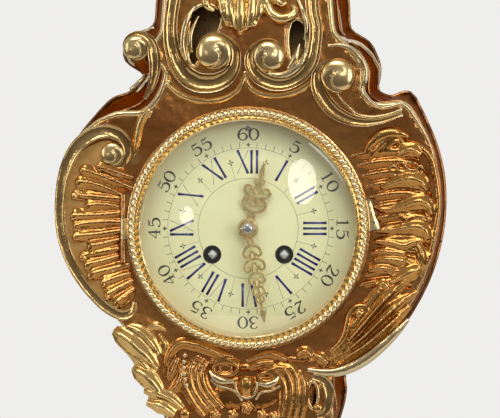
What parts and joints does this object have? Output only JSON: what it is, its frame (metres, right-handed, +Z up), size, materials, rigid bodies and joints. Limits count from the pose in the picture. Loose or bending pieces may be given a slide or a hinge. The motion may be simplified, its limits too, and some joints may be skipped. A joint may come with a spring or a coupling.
{
  "type": "cartel clock",
  "caption": "Gilt bronze rococo cartel clock with a hinged glass bezel, enamel dial, spring-driven striking movement with pendulum and bell, and a hanging eye on the back.",
  "frame": {"origin": "centre of the hanging eye, in the plane of the wall", "axes": "+Z up, +Y into the wall, so the dial faces -Y; +X to the right as the dial is read"},
  "size_m": [0.1989, 0.0844, 0.356],
  "materials": {
    "gilt_bronze": "burnished gilding",
    "brass": "polished and lacquered",
    "steel": "polished",
    "enamel": "glossy enamel",
    "glass": "clear"
  },
  "bodies": {
    "case": {"case_sides": "gilt_bronze", "case_front": "gilt_bronze", "crest_scrolls": "gilt_bronze", "crest_shell": "gilt_bronze", "shoulder_volutes": "gilt_bronze", "left_rocaille": "gilt_bronze", "right_rocaille": "gilt_bronze", "right_acanthus": "gilt_bronze", "lower_left_leaves": "gilt_bronze", "apron_cartouche": "gilt_bronze", "pendant": "gilt_bronze", "back_plate": "brass", "case_screws": "steel", "hanging_bracket": "steel", "dial_ring": "brass", "bezel_hinge_pin": "steel", "movement_straps": "brass", "strap_screws": "steel", "rear_ring": "brass", "rear_door_pin": "steel", "dial": "enamel", "front_plate": "brass", "rear_plate": "brass", "pillars": "brass", "pillar_nuts": "steel", "back_cock": "brass", "suspension_spring": "steel", "bell": "brass", "bell_stand": "steel"},
    "bezel": {"bezel": "gilt_bronze", "bezel_glass": "glass", "glass_retainer": "brass"},
    "rear_door": {"rear_door": "brass"},
    "minute_hand": {"minute_hand": "gilt_bronze", "cannon_pinion": "brass"},
    "minute_wheel": {"minute_wheel": "brass"},
    "hour_hand": {"hour_hand": "gilt_bronze", "hour_wheel": "brass"},
    "going_barrel": {"going_barrel": "brass", "going_mainspring": "steel"},
    "going_arbor": {"going_arbor": "steel"},
    "going_click": {"going_click": "steel"},
    "second_wheel": {"second_wheel": "brass"},
    "centre_wheel": {"centre_wheel": "brass", "hand_collet": "gilt_bronze", "hand_pin": "steel"},
    "third_wheel": {"third_wheel": "brass"},
    "escape_wheel": {"escape_wheel": "brass"},
    "pallets": {"pallets": "steel"},
    "pendulum": {"pendulum_rod": "steel", "pendulum_bob": "brass"},
    "regulator": {"regulator": "steel"},
    "strike_barrel": {"strike_barrel": "brass", "strike_mainspring": "steel"},
    "strike_arbor": {"strike_arbor": "steel"},
    "strike_click": {"strike_click": "steel"},
    "strike_second_wheel": {"strike_second_wheel": "brass"},
    "pin_wheel": {"pin_wheel": "brass"},
    "fly": {"fly": "brass"},
    "hammer": {"hammer": "steel"}
  },
  "joints": [
    {"name": "bezel_hinge", "type": "hinge", "parent": "case", "child": "bezel", "pos_m": [-0.0624, -0.0723, -0.14], "axis": [0, 0, -1], "range_deg": [0, 100]},
    {"name": "rear_door_hinge", "type": "hinge", "parent": "case", "child": "rear_door", "pos_m": [-0.0496, -0.0015, -0.14], "axis": [0, 0, 1], "range_deg": [0, 110]},
    {"name": "minute_hand_turn", "type": "hinge", "parent": "case", "child": "minute_hand", "pos_m": [0, -0.04, -0.14], "axis": [0, 1, 0], "continuous": true},
    {"name": "minute_wheel_turn", "type": "hinge", "parent": "case", "child": "minute_wheel", "pos_m": [0, -0.04, -0.1304], "axis": [0, 1, 0], "continuous": true},
    {"name": "hour_hand_turn", "type": "hinge", "parent": "case", "child": "hour_hand", "pos_m": [0, -0.04, -0.14], "axis": [0, 1, 0], "continuous": true},
    {"name": "escape_wheel_turn", "type": "hinge", "parent": "case", "child": "escape_wheel", "pos_m": [0, -0.04, -0.11734], "axis": [0, 1, 0], "continuous": true},
    {"name": "third_wheel_turn", "type": "hinge", "parent": "case", "child": "third_wheel", "pos_m": [-0.0072, -0.04, -0.12753], "axis": [0, 1, 0], "continuous": true},
    {"name": "centre_wheel_turn", "type": "hinge", "parent": "case", "child": "centre_wheel", "pos_m": [0, -0.04, -0.14], "axis": [0, 1, 0], "continuous": true},
    {"name": "second_wheel_turn", "type": "hinge", "parent": "case", "child": "second_wheel", "pos_m": [0.01341, -0.04, -0.1351], "axis": [0, 1, 0], "continuous": true},
    {"name": "going_barrel_turn", "type": "hinge", "parent": "case", "child": "going_barrel", "pos_m": [0.018, -0.04, -0.153], "axis": [0, 1, 0], "continuous": true},
    {"name": "going_winding", "type": "hinge", "parent": "case", "child": "going_arbor", "pos_m": [0.018, -0.04, -0.153], "axis": [0, 1, 0], "continuous": true},
    {"name": "going_click_lift", "type": "hinge", "parent": "case", "child": "going_click", "pos_m": [0.02193, -0.04, -0.16381], "axis": [0, 1, 0], "range_deg": [0, 15]},
    {"name": "pendulum_swing", "type": "hinge", "parent": "case", "child": "pendulum", "pos_m": [0, -0.04, -0.10434], "axis": [0, 1, 0], "range_deg": [-4, 4]},
    {"name": "pallets_rock", "type": "hinge", "parent": "case", "child": "pallets", "pos_m": [0, -0.04, -0.10434], "axis": [0, 1, 0], "range_deg": [-4, 4]},
    {"name": "regulator_turn", "type": "hinge", "parent": "case", "child": "regulator", "pos_m": [0, -0.04, -0.09], "axis": [0, 1, 0], "range_deg": [-720, 720]},
    {"name": "fly_turn", "type": "hinge", "parent": "case", "child": "fly", "pos_m": [0.0128, -0.04, -0.18079], "axis": [0, 1, 0], "continuous": true},
    {"name": "pin_wheel_turn", "type": "hinge", "parent": "case", "child": "pin_wheel", "pos_m": [0.0077, -0.04, -0.17196], "axis": [0, 1, 0], "continuous": true},
    {"name": "strike_second_wheel_turn", "type": "hinge", "parent": "case", "child": "strike_second_wheel", "pos_m": [-0.00493, -0.04, -0.16607], "axis": [0, 1, 0], "continuous": true},
    {"name": "strike_barrel_turn", "type": "hinge", "parent": "case", "child": "strike_barrel", "pos_m": [-0.018, -0.04, -0.153], "axis": [0, 1, 0], "continuous": true},
    {"name": "strike_winding", "type": "hinge", "parent": "case", "child": "strike_arbor", "pos_m": [-0.018, -0.04, -0.153], "axis": [0, 1, 0], "continuous": true},
    {"name": "strike_click_lift", "type": "hinge", "parent": "case", "child": "strike_click", "pos_m": [-0.02193, -0.04, -0.16381], "axis": [0, -1, 0], "range_deg": [0, 15]},
    {"name": "hammer_lift", "type": "hinge", "parent": "case", "child": "hammer", "pos_m": [0.024, -0.04, -0.178], "axis": [0, 1, 0], "range_deg": [0, 15]}
  ],
  "couplings": [
    {"joint": "minute_wheel_turn", "follows": "minute_hand_turn", "ratio": -0.33333},
    {"joint": "hour_hand_turn", "follows": "minute_hand_turn", "ratio": 0.083333},
    {"joint": "third_wheel_turn", "follows": "escape_wheel_turn", "ratio": -0.090909},
    {"joint": "centre_wheel_turn", "follows": "escape_wheel_turn", "ratio": 0.0082645},
    {"joint": "second_wheel_turn", "follows": "escape_wheel_turn", "ratio": -0.0013774},
    {"joint": "going_barrel_turn", "follows": "escape_wheel_turn", "ratio": 0.00021749},
    {"joint": "pallets_rock", "follows": "pendulum_swing", "ratio": 1},
    {"joint": "pin_wheel_turn", "follows": "fly_turn", "ratio": -0.13333},
    {"joint": "strike_second_wheel_turn", "follows": "fly_turn", "ratio": 0.018519},
    {"joint": "strike_barrel_turn", "follows": "fly_turn", "ratio": -0.002924}
  ]
}
